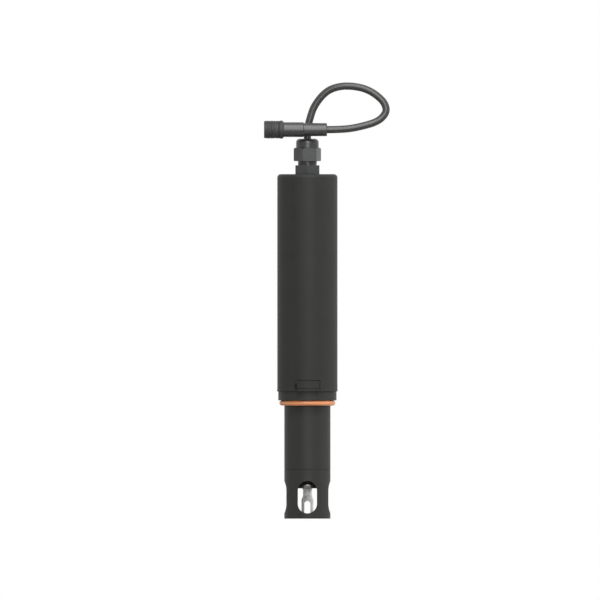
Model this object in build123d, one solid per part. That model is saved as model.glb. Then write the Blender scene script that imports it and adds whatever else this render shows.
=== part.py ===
"""Four-electrode conductivity sensor with a screwed guard, a cable gland and a short plugged lead.

Millimetres, +Z up. The origin is the centre of the guard's foot, the sensor's axis is Z,
the bayonet lugs face -Y and +Y, and the plug's mating face looks towards -X.
"""

import os
from math import cos, pi, radians, sin, tan

from build123d import *

os.makedirs("parts", exist_ok=True)

# Heights of the main faces above the guard's foot
SPIGOT_FOOT_Z = 38.5
GUARD_TOP_Z = 49.0
COLLAR_FOOT_Z = 117.8
HOUSING_FOOT_Z = 126.7
SPIGOT_TOP_Z = 152.0
HOUSING_TOP_Z = 343.2
NUT_FOOT_Z = 356.1
DOME_TOP_Z = 378.5

# Housing
HOUSING_R = 30.0
HOUSING_BORE_R = 26.6
HOUSING_ROOF = 6.0
HOUSING_EDGE_R = 3.5
FOOT_BEAD = 0.2
FOOT_BEAD_HEIGHT = 2.2
LUG_WIDTH = 21.8
LUG_HEIGHT = 10.4
LUG_R = 31.4
LUG_LIP_R = 31.8
LUG_LIP_HEIGHT = 2.4
LUG_TOP_EDGE_R = 0.8

# Barrel, with the collar that the housing stands on
BARREL_R = 23.0
BARREL_BORE_R = 19.0
BARREL_FLOOR_Z = 66.0
COLLAR_R = 29.05
SPIGOT_R = 26.4
SPIGOT_RING_Z = (133.7, 142.7)
GUARD_SEAT_R = 19.9
HEAD_BORE_R = 10.1
NUT_BAY_R = 12.0
NUT_BAY_Z = 60.0
SEAM = 0.3
RIM_CHAMFER = 1.0

# O-rings: radius of the section, and how far rubber is squeezed into its neighbours
PROCESS_RING_SECTION_R = 2.5
PROCESS_SEAT_R = 22.7
PROCESS_SEAT_HEIGHT = 4.95
SPIGOT_RING_SECTION_R = 1.1
SMALL_RING_SECTION_R = 0.85
SQUEEZE = 0.05
GROOVE_ROOM = 0.25

# Guard
GUARD_R = 22.75
GUARD_BORE_R = 20.2
GUARD_EDGE = 0.5
WINDOW_WIDTH = 19.2
WINDOW_LOW_Z = 5.3
WINDOW_HIGH_Z = 37.5
WINDOW_EDGE = 0.4
GUARD_RING_Z = 45.5
GUARD_RING_R = 20.95
GUARD_RING_SECTION_R = 0.8
GUARD_GROOVE_R = 21.9

# Cell head and cell
HEAD_FOOT_Z = 30.2
HEAD_R = 13.7
HEAD_LAND = 1.7
HEAD_SHOULDER_R = 3.7
HEAD_NECK_R = 12.0
HEAD_STEM_R = 9.9
HEAD_TOP_Z = 58.0
HEAD_RING_Z = 40.8
CELL_RING_Z = 51.1
CELL_BORE_R = 4.35
CELL_SHAFT_R = 4.3
CELL_FLANGE_R = 4.8
CELL_FLARE_R = 5.85
CELL_FLARE_LOW_Z = 19.1
CELL_FLARE_HIGH_Z = 22.6
CELL_FOOT_Z = 3.0
CELL_TOP_Z = 63.0
CELL_WELL_R = 2.3
CELL_WELL_FLOOR_Z = 21.0
SLOT_WIDTH = 6.0
SLOT_ARCH_Z = 14.7
ELECTRODE_WIDTH = 3.0
ELECTRODE_THICKNESS = 0.5
CURRENT_PLATE_Z = (4.8, 8.6)
VOLTAGE_PLATE_Z = (10.4, 13.4)
TAIL_R = 0.4
TAIL_BEND = 0.6
TAIL_Y = 0.9
TAIL_LEG_X = 4.3
TAIL_WELL_X = 1.6
TAIL_WELL_Z = 22.0
BEAD_R = 1.1
LOCK_NUT_FLATS = 14.0
LOCK_NUT_HEIGHT = 4.0
LEAD_R = 2.1
LEAD_FOOT_Z = 27.0
LEAD_TOP_Z = 162.0
POTTING_TOP_Z = 98.0

# Electronics
BOARD_WIDTH = 42.0
BOARD_THICKNESS = 1.6
BOARD_FACE_Y = 4.2
BOARD_FOOT_Z = 158.0
BOARD_TOP_Z = 316.0
DISC_R = 26.2
DISC_THICKNESS = 4.0
RAIL_WIDTH = 4.0
RAIL_DEPTH = 6.0
CARRIER_SCREW_R = 1.5
CARRIER_SCREW_HEAD_R = 2.8
CARRIER_SCREW_HEAD_HEIGHT = 2.2
CARRIER_SCREW_CIRCLE_R = 22.7
CARRIER_SCREW_DEPTH = 12.0
TERMINAL_Z = 304.0
TERMINAL_HEIGHT = 12.0
TERMINAL_DEPTH = 10.0
TERMINAL_SCREW_R = 1.6
CORE_R = 0.9
CORE_Y = -1.0
CORE_X = (-7.5, -2.5, 2.5, 7.5)
CAPACITOR_R = 3.15
CAPACITOR_HEIGHT = 7.7

# Chips on the board: width, height, thickness, and the middle's X and Z
CHIPS = {
    "controller": (12.0, 12.0, 1.6, -2.0, 232.0),
    "converter": (9.0, 12.0, 2.4, 8.0, 205.0),
    "current amplifier": (5.0, 6.2, 1.6, -9.0, 192.0),
    "voltage amplifier": (5.0, 6.2, 1.6, -9.0, 203.0),
    "memory": (5.0, 6.2, 1.6, 10.0, 240.0),
    "regulator": (6.6, 6.6, 2.3, -10.0, 284.0),
}

# Cable gland
GLAND_THREAD_R = 9.9
GLAND_FLATS = 24.0
GLAND_HEX_TOP_Z = 352.0
GLAND_NECK_R = 9.3
GLAND_STEM_TOP_Z = 364.0
GLAND_CUP_R = 8.2
GLAND_CUP_FLOOR_Z = 358.0
NUT_HEX_TOP_Z = 369.7
NUT_TURN = -19.0
DOME_R = 11.3
DOME_EDGE_R = 3.8
NUT_MOUTH_R = 4.1
GLAND_BORE_GAP = 0.2
GLAND_THREAD_LENGTH = 11.0
CLAW_COUNT = 10
CLAW_SLIT = 1.2
CLAW_TOP_Z = 373.0
SLIP_RING_Z = (373.4, 374.2)
CLAMP_R = 8.1
SEAL_R = 6.5
ROOF_NUT_FLATS = 26.0
ROOF_NUT_HEIGHT = 5.0
ROOF_RING_R = 10.95
ROOF_RING_SECTION_R = 0.75
NUT_THREAD_GAP = 0.3

# Cable and plug
CABLE_R = 3.6
PLUG_AXIS_Y = -13.5
PLUG_AXIS_Z = 387.5
PLUG_FACE_X = -43.2
PLUG_THREAD_END_X = -30.0
PLUG_FLANGE_X = (-26.2, -24.3)
PLUG_SPLIT_X = -3.8
PLUG_REAR_X = 19.6
PLUG_THREAD_R = 8.75
PLUG_FLANGE_R = 9.0
PLUG_BARREL_R = 7.4
BACKSHELL_R = 6.55
SOCKET_R = 6.6
SOCKET_DEPTH = 8.0
INSERT_END_X = -20.0
BACKSHELL_SPIGOT_X = -12.0
GROMMET_X = (6.0, 16.0)
GROMMET_BORE_R = 5.3
CORE_BORE_R = 4.3
WAIST_DEPTH = 0.35
PLUG_RING_SECTION_R = 0.85
PLUG_RING_DEPTH = 1.2
PLUG_CABLE_END_X = 2.0
PIN_R = 0.8
PIN_CIRCLE_R = 4.2
PIN_COUNT = 5
PIN_NOSE_X = -41.2
PIN_TAIL_X = -18.0
KEYWAY_WIDTH = 1.6

# The cable's route, from the gland's mouth round the loop to the plug's rear face
CABLE_ROUTE = [
    (0.0, 0.0, 378.5),
    (0.0, 0.0, 388.5),
    (2.5, 0.0, 398.5),
    (6.5, 0.0, 411.0),
    (18.0, -0.5, 425.5),
    (31.5, -1.5, 431.0),
    (47.0, -3.0, 431.0),
    (61.5, -5.0, 427.0),
    (74.5, -7.0, 417.5),
    (79.0, -8.5, 409.0),
    (77.5, -9.5, 402.5),
    (70.0, -11.0, 395.5),
    (55.5, -12.5, 391.0),
    (37.5, -13.5, 387.5),
    (PLUG_REAR_X, PLUG_AXIS_Y, PLUG_AXIS_Z),
]
ARC_SHARE = 0.45


def rod(radius, low, high):
    """Upright solid cylinder between two heights."""
    return Pos(0, 0, low) * Cylinder(radius, high - low, align=(Align.CENTER, Align.CENTER, Align.MIN))


def pipe(radius, bore, low, high):
    """Upright tube between two heights."""
    return rod(radius, low, high) - rod(bore, low, high)


def block(width, depth, low, high, x=0, y=0):
    """Upright box between two heights."""
    return Pos(x, y, low) * Box(width, depth, high - low, align=(Align.CENTER, Align.CENTER, Align.MIN))


def turned(*outline):
    """Solid of revolution about Z from an outline of radius and height."""
    return revolve(Plane.XZ * make_face(Polyline(*outline, close=True)), Axis.Z)


def o_ring(ring_r, section_r, height):
    return Pos(0, 0, height) * Torus(ring_r, section_r)


def hexagon(flats, low, high, turn=0):
    """Hexagonal prism, a corner towards -Y until it is turned about Z."""
    outline = RegularPolygon(flats / 2, 6, major_radius=False, rotation=30 + turn)
    return Pos(0, 0, low) * extrude(outline, high - low)


def crown(flats, low, high, top_chamfer, foot_chamfer):
    """Solid of revolution that takes the corners off a hexagon's two ends."""
    corner_r = flats / 2 / cos(radians(30))
    return turned(
        (0, low),
        (corner_r - foot_chamfer / tan(radians(30)), low),
        (corner_r, low + foot_chamfer),
        (corner_r, high - top_chamfer),
        (corner_r - top_chamfer / tan(radians(30)), high),
        (0, high),
    )


def along_plug(part):
    """Turn a piece made about Z so that its heights become X on the plug's axis."""
    return Pos(0, PLUG_AXIS_Y, PLUG_AXIS_Z) * Rot(0, 90, 0) * part


def wire(points, radius, bend):
    """Round wire along straight runs with rounded corners."""
    path = FilletPolyline(*points, radius=bend)
    start = Plane(origin=path @ 0, z_dir=path % 0)
    return sweep(start * Circle(radius), path)


# Housing and barrel


def lug(side):
    """Bayonet lug, concentric with the housing, with a prouder lip along its foot."""
    low, high = HOUSING_FOOT_Z, HOUSING_FOOT_Z + LUG_HEIGHT
    reach = LUG_LIP_R - HOUSING_BORE_R
    middle = side * (HOUSING_BORE_R + reach / 2 + 0.5)
    pad = block(LUG_WIDTH, reach, low, high, y=middle)
    pad = fillet(pad.edges().filter_by(Axis.Y).group_by(Axis.Z)[-1], LUG_TOP_EDGE_R)
    foot = block(LUG_WIDTH, reach, low, low + LUG_LIP_HEIGHT, y=middle)
    return (pad & rod(LUG_R, low, high)) + (foot & rod(LUG_LIP_R, low, high))


def housing():
    """Closed tube with a rounded top edge, two lugs and the gland's hole."""
    roof = HOUSING_TOP_Z - HOUSING_ROOF
    shell = turned(
        (0, HOUSING_FOOT_Z),
        (HOUSING_R, HOUSING_FOOT_Z),
        (HOUSING_R + FOOT_BEAD, HOUSING_FOOT_Z + FOOT_BEAD),
        (HOUSING_R + FOOT_BEAD, HOUSING_FOOT_Z + FOOT_BEAD_HEIGHT - FOOT_BEAD),
        (HOUSING_R, HOUSING_FOOT_Z + FOOT_BEAD_HEIGHT),
        (HOUSING_R, HOUSING_TOP_Z),
        (0, HOUSING_TOP_Z),
    )
    shell = fillet(shell.edges().filter_by(GeomType.CIRCLE).sort_by(Axis.Z)[-1], HOUSING_EDGE_R)
    shell += lug(-1) + lug(1)
    shell -= rod(HOUSING_BORE_R, HOUSING_FOOT_Z, roof)
    return shell - rod(GLAND_THREAD_R + 0.05, roof, HOUSING_TOP_Z)


def spigot_groove(height):
    """Rectangular groove for one of the spigot's O-rings."""
    floor_r = HOUSING_BORE_R - 2 * SPIGOT_RING_SECTION_R + 2 * SQUEEZE
    half = SPIGOT_RING_SECTION_R + GROOVE_ROOM
    return pipe(SPIGOT_R + 1, floor_r, height - half, height + half)


def sensor_barrel():
    """Slim barrel, collar and spigot in one turned piece, bored from both ends."""
    body = turned(
        (HEAD_BORE_R, SPIGOT_FOOT_Z),
        (GUARD_SEAT_R - GUARD_EDGE, SPIGOT_FOOT_Z),
        (GUARD_SEAT_R, SPIGOT_FOOT_Z + GUARD_EDGE),
        (GUARD_SEAT_R, GUARD_TOP_Z),
        (BARREL_R - SEAM, GUARD_TOP_Z),
        (BARREL_R, GUARD_TOP_Z + SEAM),
        (BARREL_R, COLLAR_FOOT_Z - PROCESS_SEAT_HEIGHT),
        (PROCESS_SEAT_R, COLLAR_FOOT_Z - PROCESS_SEAT_HEIGHT),
        (PROCESS_SEAT_R, COLLAR_FOOT_Z),
        (COLLAR_R - SEAM, COLLAR_FOOT_Z),
        (COLLAR_R, COLLAR_FOOT_Z + SEAM),
        (COLLAR_R, HOUSING_FOOT_Z),
        (SPIGOT_R, HOUSING_FOOT_Z),
        (SPIGOT_R, SPIGOT_TOP_Z - RIM_CHAMFER),
        (SPIGOT_R - RIM_CHAMFER, SPIGOT_TOP_Z),
        (BARREL_BORE_R, SPIGOT_TOP_Z),
        (BARREL_BORE_R, BARREL_FLOOR_Z),
        (NUT_BAY_R, BARREL_FLOOR_Z),
        (NUT_BAY_R, NUT_BAY_Z),
        (HEAD_BORE_R, NUT_BAY_Z),
    )
    for height in SPIGOT_RING_Z:
        body -= spigot_groove(height)
    for place in carrier_screw_places():
        body -= place * rod(CARRIER_SCREW_R, SPIGOT_TOP_Z - CARRIER_SCREW_DEPTH, SPIGOT_TOP_Z)
    return body


def process_o_ring():
    """Ring in the corner between the barrel and the collar's foot."""
    ring_r = PROCESS_SEAT_R + PROCESS_RING_SECTION_R - SQUEEZE
    return o_ring(ring_r, PROCESS_RING_SECTION_R, COLLAR_FOOT_Z - PROCESS_RING_SECTION_R + SQUEEZE)


def spigot_o_ring(height):
    return o_ring(HOUSING_BORE_R - SPIGOT_RING_SECTION_R + SQUEEZE, SPIGOT_RING_SECTION_R, height)


# Guard


def guard_windows():
    """The four stadium windows, cut as two slots straight through."""
    height = WINDOW_HIGH_Z - WINDOW_LOW_Z
    middle = (WINDOW_HIGH_Z + WINDOW_LOW_Z) / 2
    slot = SlotOverall(height, WINDOW_WIDTH, rotation=90)
    cut = extrude(Plane.XZ * Pos(0, middle) * slot, amount=GUARD_R + 5, both=True)
    return cut + Rot(0, 0, 90) * cut


def guard_cage():
    """Open tube with four windows, screwed up against the barrel's shoulder."""
    half = GUARD_RING_SECTION_R + GROOVE_ROOM
    tube = turned(
        (GUARD_BORE_R, GUARD_EDGE),
        (GUARD_BORE_R + GUARD_EDGE, 0),
        (GUARD_R - GUARD_EDGE, 0),
        (GUARD_R, GUARD_EDGE),
        (GUARD_R, GUARD_TOP_Z - SEAM),
        (GUARD_R - SEAM, GUARD_TOP_Z),
        (GUARD_BORE_R + GUARD_EDGE, GUARD_TOP_Z),
        (GUARD_BORE_R, GUARD_TOP_Z - GUARD_EDGE),
        (GUARD_BORE_R, GUARD_RING_Z + half),
        (GUARD_GROOVE_R, GUARD_RING_Z + half),
        (GUARD_GROOVE_R, GUARD_RING_Z - half),
        (GUARD_BORE_R, GUARD_RING_Z - half),
    )
    cage = tube - guard_windows()
    return chamfer(window_rims(cage), WINDOW_EDGE)


def window_rims(cage):
    """The windows' edges on the guard's outer surface."""
    rims = cage.edges().filter_by(lambda e: WINDOW_LOW_Z - 0.1 < e.center().Z < WINDOW_HIGH_Z + 0.1)
    return rims.filter_by(lambda e: all(abs(distance_to_axis(e @ t) - GUARD_R) < 0.01 for t in (0, 0.5, 1)))


def distance_to_axis(point):
    return (point.X**2 + point.Y**2) ** 0.5


def guard_o_ring():
    return o_ring(GUARD_RING_R, GUARD_RING_SECTION_R, GUARD_RING_Z)


# Measuring cell


def cell_head():
    """Round-shouldered head on a threaded stem, bored for the cell."""
    land_z = HEAD_FOOT_Z + HEAD_LAND
    shoulder_x = HEAD_R - HEAD_SHOULDER_R
    rise = (HEAD_SHOULDER_R**2 - (HEAD_NECK_R - shoulder_x) ** 2) ** 0.5
    neck_z = land_z + rise
    middle = (
        shoulder_x + HEAD_SHOULDER_R * cos(radians(30)),
        land_z + HEAD_SHOULDER_R * sin(radians(30)),
    )
    ring_r = HEAD_BORE_R - 2 * SMALL_RING_SECTION_R + 2 * SQUEEZE
    half = SMALL_RING_SECTION_R + GROOVE_ROOM
    outline = Polyline(
        (HEAD_NECK_R, neck_z),
        (HEAD_NECK_R, SPIGOT_FOOT_Z),
        (HEAD_STEM_R, SPIGOT_FOOT_Z),
        (HEAD_STEM_R, HEAD_RING_Z - half),
        (ring_r, HEAD_RING_Z - half),
        (ring_r, HEAD_RING_Z + half),
        (HEAD_STEM_R, HEAD_RING_Z + half),
        (HEAD_STEM_R, HEAD_TOP_Z - 0.8),
        (HEAD_STEM_R - 0.8, HEAD_TOP_Z),
        (CELL_BORE_R, HEAD_TOP_Z),
        (CELL_BORE_R, HEAD_FOOT_Z),
        (HEAD_R - 0.3, HEAD_FOOT_Z),
        (HEAD_R, HEAD_FOOT_Z + 0.3),
        (HEAD_R, land_z),
    )
    shoulder = ThreePointArc((HEAD_R, land_z), middle, (HEAD_NECK_R, neck_z))
    head = revolve(Plane.XZ * make_face(outline + shoulder), Axis.Z)
    return head - pipe(cell_ring_groove_r(), CELL_BORE_R - 0.5, CELL_RING_Z - half, CELL_RING_Z + half)


def cell_ring_groove_r():
    return CELL_SHAFT_R + 2 * SMALL_RING_SECTION_R - 2 * SQUEEZE


def cell_head_o_ring():
    ring_r = HEAD_BORE_R - SMALL_RING_SECTION_R + SQUEEZE
    return o_ring(ring_r, SMALL_RING_SECTION_R, HEAD_RING_Z)


def cell_o_ring():
    ring_r = CELL_SHAFT_R + SMALL_RING_SECTION_R - SQUEEZE
    return o_ring(ring_r, SMALL_RING_SECTION_R, CELL_RING_Z)


def cell_slot():
    """Arched slot, open at the cell's foot, that the liquid passes through."""
    half = SLOT_WIDTH / 2
    legs = block(SLOT_WIDTH, 4 * CELL_FLARE_R, CELL_FOOT_Z - 1, SLOT_ARCH_Z)
    arch = Pos(0, 0, SLOT_ARCH_Z) * Rot(90, 0, 0) * Cylinder(half, 4 * CELL_FLARE_R)
    return legs + arch


def cell_blank():
    """The cell before its slot and electrodes: shaft, stop flange and flared foot."""
    return turned(
        (0, CELL_FOOT_Z),
        (CELL_FLARE_R - 0.6, CELL_FOOT_Z),
        (CELL_FLARE_R, CELL_FOOT_Z + 0.6),
        (CELL_FLARE_R, CELL_FLARE_LOW_Z),
        (CELL_SHAFT_R, CELL_FLARE_HIGH_Z),
        (CELL_SHAFT_R, HEAD_FOOT_Z - 1.0),
        (CELL_FLANGE_R, HEAD_FOOT_Z - 1.0),
        (CELL_FLANGE_R, HEAD_FOOT_Z),
        (CELL_SHAFT_R, HEAD_FOOT_Z),
        (CELL_SHAFT_R, CELL_TOP_Z),
        (CELL_WELL_R, CELL_TOP_Z),
        (CELL_WELL_R, CELL_WELL_FLOOR_Z),
        (0, CELL_WELL_FLOOR_Z),
    )


def cell_body():
    """Fork-shaped cell with the electrodes and their tails let into its legs."""
    return cell_blank() - cell_slot() - current_electrodes() - voltage_electrodes()


def electrode(side, heights, tail_y):
    """Plate flush with a leg's inner face, with a tail that runs up inside the leg to the well."""
    low, high = heights
    middle = (low + high) / 2
    plate_x = (SLOT_WIDTH + ELECTRODE_THICKNESS) / 2
    plate = block(ELECTRODE_THICKNESS, ELECTRODE_WIDTH, low, high, x=side * plate_x)
    route = [
        (side * plate_x, tail_y, middle),
        (side * TAIL_LEG_X, tail_y, middle),
        (side * TAIL_LEG_X, tail_y, SLOT_ARCH_Z),
        (side * TAIL_WELL_X, tail_y, TAIL_WELL_Z),
        (side * TAIL_WELL_X, tail_y, LEAD_FOOT_Z),
    ]
    return plate + wire(route, TAIL_R, TAIL_BEND)


def current_electrodes():
    return Compound(children=[electrode(side, CURRENT_PLATE_Z, TAIL_Y) for side in (-1, 1)])


def voltage_electrodes():
    return Compound(children=[electrode(side, VOLTAGE_PLATE_Z, -TAIL_Y) for side in (-1, 1)])


def temperature_sensor():
    """Bead thermistor with a domed foot in the cell's well."""
    bead = rod(BEAD_R, CELL_WELL_FLOOR_Z, LEAD_FOOT_Z)
    return fillet(bead.edges().group_by(Axis.Z)[0], BEAD_R - 0.2)


def cell_lock_nut():
    """Hexagon nut on the shaft's upper end, seated on the head's stem."""
    low, high = HEAD_TOP_Z, HEAD_TOP_Z + LOCK_NUT_HEIGHT
    nut = hexagon(LOCK_NUT_FLATS, low, high) & crown(LOCK_NUT_FLATS, low, high, 0.6, 0.6)
    return nut - rod(CELL_BORE_R, low, high)


def cell_lead_bundle():
    return rod(LEAD_R, LEAD_FOOT_Z, LEAD_TOP_Z)


def potting_plug():
    """Cast resin that fills the barrel around the lead."""
    return pipe(BARREL_BORE_R - SQUEEZE, LEAD_R + SQUEEZE, BARREL_FLOOR_Z + 2, POTTING_TOP_Z)


# Electronics


def carrier_screw_places():
    return PolarLocations(CARRIER_SCREW_CIRCLE_R, 3, start_angle=90)


def board_carrier():
    """Two discs joined by grooved rails that hold the board's long edges."""
    lower_top = SPIGOT_TOP_Z + DISC_THICKNESS
    upper_foot = BOARD_TOP_Z + 2
    middle_y = BOARD_FACE_Y + BOARD_THICKNESS / 2
    frame = pipe(DISC_R, LEAD_R + 1, SPIGOT_TOP_Z, lower_top)
    frame += pipe(DISC_R, CABLE_R + 1.4, upper_foot, upper_foot + DISC_THICKNESS)
    for side in (-1, 1):
        frame += block(RAIL_WIDTH, RAIL_DEPTH, lower_top, upper_foot, x=side * BOARD_WIDTH / 2, y=middle_y)
    frame -= block(BOARD_WIDTH + 0.4, BOARD_THICKNESS + 0.2, BOARD_FOOT_Z - 0.2, BOARD_TOP_Z + 0.2, y=middle_y)
    for place in carrier_screw_places():
        frame -= place * rod(CARRIER_SCREW_R + 0.2, SPIGOT_TOP_Z, lower_top)
    return frame


def carrier_screws():
    """Three pan-head screws through the carrier's lower disc into the barrel's rim."""
    seat = SPIGOT_TOP_Z + DISC_THICKNESS
    top = seat + CARRIER_SCREW_HEAD_HEIGHT
    shank = rod(CARRIER_SCREW_R - SQUEEZE, SPIGOT_TOP_Z - CARRIER_SCREW_DEPTH + 2, seat)
    head = fillet(rod(CARRIER_SCREW_HEAD_R, seat, top).edges().group_by(Axis.Z)[-1], 0.8)
    head -= block(0.7, 3.4, top - 1, top) + block(3.4, 0.7, top - 1, top)
    return Compound(children=[place * (shank + head) for place in carrier_screw_places()])


def main_board():
    middle_y = BOARD_FACE_Y + BOARD_THICKNESS / 2
    board = block(BOARD_WIDTH, BOARD_THICKNESS, BOARD_FOOT_Z, BOARD_TOP_Z, y=middle_y)
    return chamfer(board.edges().filter_by(Axis.Y), 1.0)


def on_board(width, height, thickness, x, z):
    """Block that stands on the board's front face."""
    return block(width, thickness, z - height / 2, z + height / 2, x=x, y=BOARD_FACE_Y - thickness / 2)


def board_chips():
    return Compound(children=[on_board(*outline) for outline in CHIPS.values()])


def board_capacitors():
    """Three round electrolytic capacitors on their ends."""
    can = Rot(90, 0, 0) * Cylinder(CAPACITOR_R, CAPACITOR_HEIGHT, align=(Align.CENTER, Align.CENTER, Align.MIN))
    places = [(6.0, 289.0), (14.0, 281.0), (14.0, 256.0)]
    return Compound(children=[Pos(x, BOARD_FACE_Y, z) * can for x, z in places])


def isolation_transformer():
    """Wound core with a gap each side of its centre leg's bobbin."""
    core = on_board(14.0, 12.0, 10.0, 0.0, 262.0)
    bobbin = on_board(9.0, 15.0, 8.6, 0.0, 262.0)
    return core + bobbin


def lead_header():
    """Plug-in header that the cell's lead comes up into."""
    return on_board(14.0, 10.0, 8.4, 0.0, 167.0)


def cable_terminal():
    """Four-way terminal block with an entry for each core."""
    terminal = on_board(22.0, TERMINAL_HEIGHT, TERMINAL_DEPTH, 0.0, TERMINAL_Z)
    top = TERMINAL_Z + TERMINAL_HEIGHT / 2
    front = BOARD_FACE_Y - TERMINAL_DEPTH
    for x in CORE_X:
        terminal -= Pos(x, CORE_Y, 0) * rod(CORE_R + 0.4, TERMINAL_Z - 2, top)
        terminal -= Pos(x, front, TERMINAL_Z) * Rot(90, 0, 0) * Cylinder(TERMINAL_SCREW_R + 0.1, 3.0)
    return terminal


def terminal_screws():
    """Slotted screws, flush with the terminal block's front."""
    screw = Rot(90, 0, 0) * Cylinder(TERMINAL_SCREW_R, 1.5, align=(Align.CENTER, Align.CENTER, Align.MAX))
    slotted = screw - Box(3.4, 1.0, 0.6)
    front = BOARD_FACE_Y - TERMINAL_DEPTH
    return Compound(children=[Pos(x, front, TERMINAL_Z) * slotted for x in CORE_X])


def cable_cores():
    """Four cores that fan out from the cable's end into the terminal block."""
    cores = []
    for x, angle in zip(CORE_X, (200, 250, 290, 340)):
        start_x = 2.2 * cos(radians(angle))
        start_y = 1.2 * sin(radians(angle))
        route = [
            (start_x, start_y, BOARD_TOP_Z + 6),
            (start_x, start_y, BOARD_TOP_Z + 4),
            (x, CORE_Y, TERMINAL_Z + 9),
            (x, CORE_Y, TERMINAL_Z),
        ]
        cores.append(wire(route, CORE_R, 1.5))
    return Compound(children=cores)


# Cable gland


def gland_body():
    """Threaded stub, hexagon and neck, with a cup for the clamp and a groove for the flange seal."""
    low = HOUSING_TOP_Z
    body = hexagon(GLAND_FLATS, low, GLAND_HEX_TOP_Z) & crown(GLAND_FLATS, low, GLAND_HEX_TOP_Z, 0.6, 0.3)
    body += rod(GLAND_NECK_R, GLAND_HEX_TOP_Z, GLAND_STEM_TOP_Z)
    body += rod(GLAND_THREAD_R, low - GLAND_THREAD_LENGTH, low)
    body -= rod(CABLE_R + GLAND_BORE_GAP, low - GLAND_THREAD_LENGTH, GLAND_CUP_FLOOR_Z)
    body -= rod(GLAND_CUP_R, GLAND_CUP_FLOOR_Z, GLAND_STEM_TOP_Z)
    depth = 2 * ROOF_RING_SECTION_R - 2 * SQUEEZE
    return body - pipe(ROOF_RING_R + ROOF_RING_SECTION_R, ROOF_RING_R - ROOF_RING_SECTION_R, low, low + depth)


def gland_o_ring():
    return o_ring(ROOF_RING_R, ROOF_RING_SECTION_R, HOUSING_TOP_Z + ROOF_RING_SECTION_R - SQUEEZE)


def gland_lock_nut():
    """Hexagon nut inside the housing that holds the gland."""
    high = HOUSING_TOP_Z - HOUSING_ROOF
    low = high - ROOF_NUT_HEIGHT
    nut = hexagon(ROOF_NUT_FLATS, low, high) & crown(ROOF_NUT_FLATS, low, high, 0.6, 0.6)
    return nut - rod(GLAND_THREAD_R + 0.05, low, high)


def gland_clamp_cage():
    """Sleeve in the gland's cup with a crown of claws that the dome nut bends in."""
    flange_top = GLAND_STEM_TOP_Z + 1.5
    bore_r = SEAL_R + 0.1
    cage = turned(
        (bore_r, GLAND_CUP_FLOOR_Z),
        (CLAMP_R, GLAND_CUP_FLOOR_Z),
        (CLAMP_R, GLAND_STEM_TOP_Z),
        (CLAMP_R + 0.9, GLAND_STEM_TOP_Z),
        (CLAMP_R + 0.9, flange_top),
        (CLAMP_R + 0.1, flange_top),
        (bore_r, CLAW_TOP_Z),
        (bore_r - 1.2, CLAW_TOP_Z),
        (bore_r, flange_top),
    )
    slit = block(2 * CLAMP_R, CLAW_SLIT, flange_top, CLAW_TOP_Z + 1, x=CLAMP_R + 1)
    for index in range(CLAW_COUNT):
        cage -= Rot(0, 0, (index + 0.5) * 360 / CLAW_COUNT) * slit
    return cage


def gland_seal():
    """Rubber bush between the claws and the cable."""
    top = CLAW_TOP_Z - 0.2
    return turned(
        (CABLE_R - SQUEEZE, GLAND_CUP_FLOOR_Z),
        (SEAL_R, GLAND_CUP_FLOOR_Z),
        (SEAL_R, GLAND_STEM_TOP_Z + 1.5),
        (SEAL_R - 1.2, top),
        (CABLE_R - SQUEEZE, top),
    )


def gland_slip_ring():
    """Flat ring that lets the dome nut turn without twisting the claws."""
    return pipe(7.0, NUT_MOUTH_R, *SLIP_RING_Z)


def gland_dome_nut():
    """Hexagon nut under a rounded dome, with a coned inside that closes the claws."""
    nut = hexagon(GLAND_FLATS, NUT_FOOT_Z, NUT_HEX_TOP_Z, NUT_TURN)
    nut &= crown(GLAND_FLATS, NUT_FOOT_Z, NUT_HEX_TOP_Z, 1.2, 0.5)
    dome = rod(DOME_R, NUT_FOOT_Z + 3, DOME_TOP_Z)
    nut += fillet(dome.edges().group_by(Axis.Z)[-1], DOME_EDGE_R)
    thread_r = GLAND_NECK_R + NUT_THREAD_GAP
    ceiling_z = SLIP_RING_Z[1] + 0.1
    inside = turned(
        (0, NUT_FOOT_Z),
        (thread_r + 0.6, NUT_FOOT_Z),
        (thread_r, NUT_FOOT_Z + 0.6),
        (thread_r, GLAND_STEM_TOP_Z + 3),
        (CLAMP_R - 0.1, CLAW_TOP_Z),
        (CLAMP_R - 0.1, ceiling_z),
        (NUT_MOUTH_R, ceiling_z),
        (NUT_MOUTH_R, DOME_TOP_Z),
        (0, DOME_TOP_Z),
    )
    return nut - inside


# Cable and plug


def route_radii():
    """Radius of each corner's arc, from the shorter of its two runs and its turn."""
    points = [Vector(point) for point in CABLE_ROUTE]
    runs = [b - a for a, b in zip(points, points[1:])]
    return [
        ARC_SHARE * min(a.length, b.length) / tan(radians(a.get_angle(b) / 2))
        for a, b in zip(runs, runs[1:])
    ]


def cable():
    """The free loop, from the gland's mouth to the plug's rear face."""
    return wire(CABLE_ROUTE, CABLE_R, route_radii())


def cable_tail():
    """The same cable inside the gland and the housing's roof."""
    return rod(CABLE_R, BOARD_TOP_Z + 6, DOME_TOP_Z)


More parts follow.
